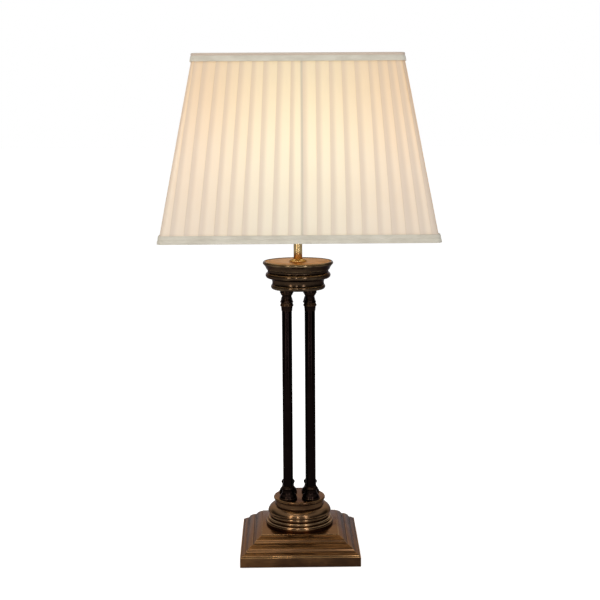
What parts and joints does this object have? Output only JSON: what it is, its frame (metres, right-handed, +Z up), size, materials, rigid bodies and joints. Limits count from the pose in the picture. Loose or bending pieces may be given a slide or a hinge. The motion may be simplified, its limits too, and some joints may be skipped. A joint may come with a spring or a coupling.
{
  "type": "table lamp",
  "caption": "Column table lamp: stepped square plinth, ringed pedestal, slim columns and ringed capital in antique brass, with a square tapered shade of pleated fabric.",
  "frame": {"origin": "on the table, under the centre of the plinth", "axes": "+Z up along the lamp, -Y towards the front, +X to the right as seen from the front"},
  "size_m": [0.3556, 0.3556, 0.69],
  "materials": {
    "felt": "dark green baize",
    "zinc_steel": "zinc plated",
    "cast_iron": "raw casting",
    "antique_brass": "antiqued dark brown with rubbed golden edges",
    "dark_bronze": "dark brown patina, satin",
    "copper_toned_brass": "copper-toned, satin",
    "polished_brass": "polished",
    "black_plastic": "moulded",
    "white_moulding": "moulded",
    "bulb_cap_metal": "bright",
    "bulb_glass": "frosted inside",
    "bulb_mount_glass": "clear stem with wire leads",
    "white_coated_wire": "white coated",
    "lining_fabric": "thin lining cloth",
    "trim_fabric": "folded binding, greenish off-white",
    "pleated_fabric": "knife pleats, cream"
  },
  "bodies": {
    "lamp_body": {"felt_pad": "felt", "base_plate": "zinc_steel", "base_screws": "zinc_steel", "base_weight": "cast_iron", "plinth": "antique_brass", "cable_inlet_bush": "black_plastic", "pedestal": "antique_brass", "column_plate": "antique_brass", "column_rods": "zinc_steel", "lower_nuts": "zinc_steel", "lower_washers": "zinc_steel", "upper_nuts": "zinc_steel", "upper_washers": "zinc_steel", "entablature": "antique_brass", "top_plate": "copper_toned_brass", "stem_washer": "zinc_steel", "stem_nut": "zinc_steel", "stem_nipple": "zinc_steel", "stem_seat": "polished_brass", "stem_tube": "polished_brass", "lampholder_cap": "polished_brass", "lampholder_barrel": "polished_brass", "terminal_block": "white_moulding", "insulating_sleeve": "white_moulding", "screw_shell": "polished_brass", "centre_contact": "polished_brass", "column_foot_front_left": "antique_brass", "column_shaft_front_left": "dark_bronze", "column_capital_front_left": "antique_brass", "column_foot_front_right": "antique_brass", "column_shaft_front_right": "dark_bronze", "column_capital_front_right": "antique_brass", "column_foot_rear_left": "antique_brass", "column_shaft_rear_left": "dark_bronze", "column_capital_rear_left": "antique_brass", "column_foot_rear_right": "antique_brass", "column_shaft_rear_right": "dark_bronze", "column_capital_rear_right": "antique_brass"},
    "switch": {"switch_bar": "black_plastic"},
    "bulb": {"bulb_cap": "bulb_cap_metal", "bulb_glass": "bulb_glass", "bulb_filament": "bulb_mount_glass"},
    "shade_carrier": {"carrier_plate": "polished_brass", "carrier_wires": "polished_brass", "carrier_ring": "polished_brass"},
    "ring_nut": {"ring_nut": "polished_brass"},
    "shade": {"shade_lower_ring": "white_coated_wire", "shade_upper_ring": "white_coated_wire", "shade_struts": "white_coated_wire", "duplex_fitting": "white_coated_wire", "shade_lining": "lining_fabric", "shade_lower_trim": "trim_fabric", "shade_upper_trim": "trim_fabric", "pleated_panel_front": "pleated_fabric", "pleated_panel_right": "pleated_fabric", "pleated_panel_back": "pleated_fabric", "pleated_panel_left": "pleated_fabric"}
  },
  "joints": [
    {"name": "switch_push", "type": "slide", "parent": "lamp_body", "child": "switch", "axis": [1, 0, 0], "range_m": [0, 0.004]},
    {"name": "bulb_lift", "type": "slide", "parent": "lamp_body", "child": "bulb", "axis": [0, 0, 1], "range_m": [0, 0.2]},
    {"name": "carrier_turn", "type": "hinge", "parent": "lamp_body", "child": "shade_carrier", "pos_m": [0, 0, 0.5095], "axis": [0, 0, 1], "continuous": true},
    {"name": "ring_nut_turn", "type": "hinge", "parent": "lamp_body", "child": "ring_nut", "pos_m": [0, 0, 0.5139], "axis": [0, 0, 1], "continuous": true},
    {"name": "shade_lift", "type": "slide", "parent": "shade_carrier", "child": "shade", "axis": [0, 0, 1], "range_m": [0, 0.2]}
  ]
}
